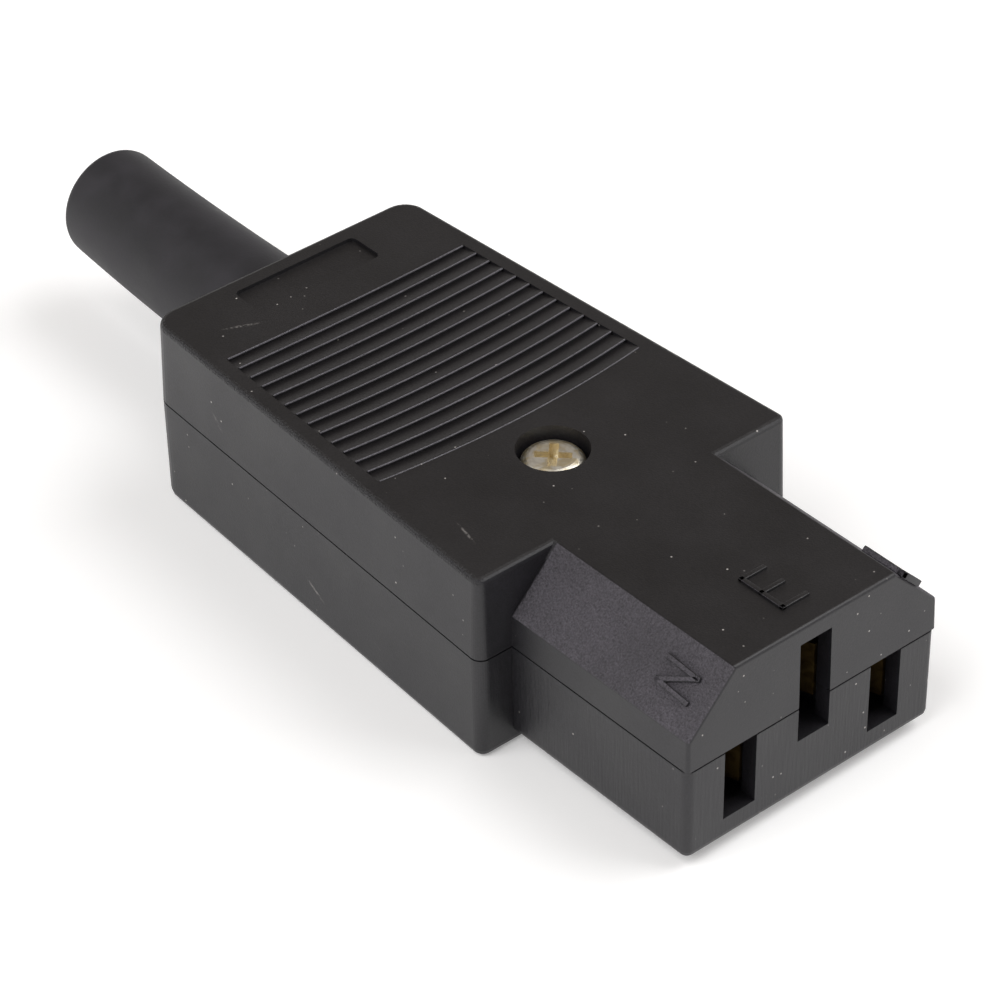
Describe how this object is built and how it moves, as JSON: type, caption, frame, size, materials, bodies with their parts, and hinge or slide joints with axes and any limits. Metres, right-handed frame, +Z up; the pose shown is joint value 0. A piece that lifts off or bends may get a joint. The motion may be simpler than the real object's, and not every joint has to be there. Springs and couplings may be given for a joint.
{
  "type": "c13 power connector",
  "caption": "Rewirable C13 appliance connector: two black half shells with bowed grip steps, folded brass contacts, cord clamp and rubber boot.",
  "frame": {"origin": "middle of the whole length and width, on the lowest face", "axes": "+X from the cord boot to the mating nose, +Y to the line pole, +Z up from the face it lies on"},
  "size_m": [0.0846, 0.0302, 0.0162],
  "materials": {
    "shell_plastic": "moulded, finely eroded",
    "boot_rubber": "matt",
    "screw_plate": "bright plated",
    "contact_brass": "folded sheet",
    "clamp_steel": "plated sheet",
    "strap_plastic": "moulded"
  },
  "bodies": {
    "root": {"lower_shell": "shell_plastic", "upper_shell": "shell_plastic", "cord_boot": "boot_rubber", "case_screw": "screw_plate", "case_nut": "clamp_steel", "line_contact": "contact_brass", "neutral_contact": "contact_brass", "earth_contact": "contact_brass", "line_wire_clamp": "clamp_steel", "neutral_wire_clamp": "clamp_steel", "earth_wire_clamp": "clamp_steel", "terminal_screws": "clamp_steel", "cord_clamp_strap": "strap_plastic", "cord_clamp_screws": "clamp_steel"}
  },
  "joints": []
}
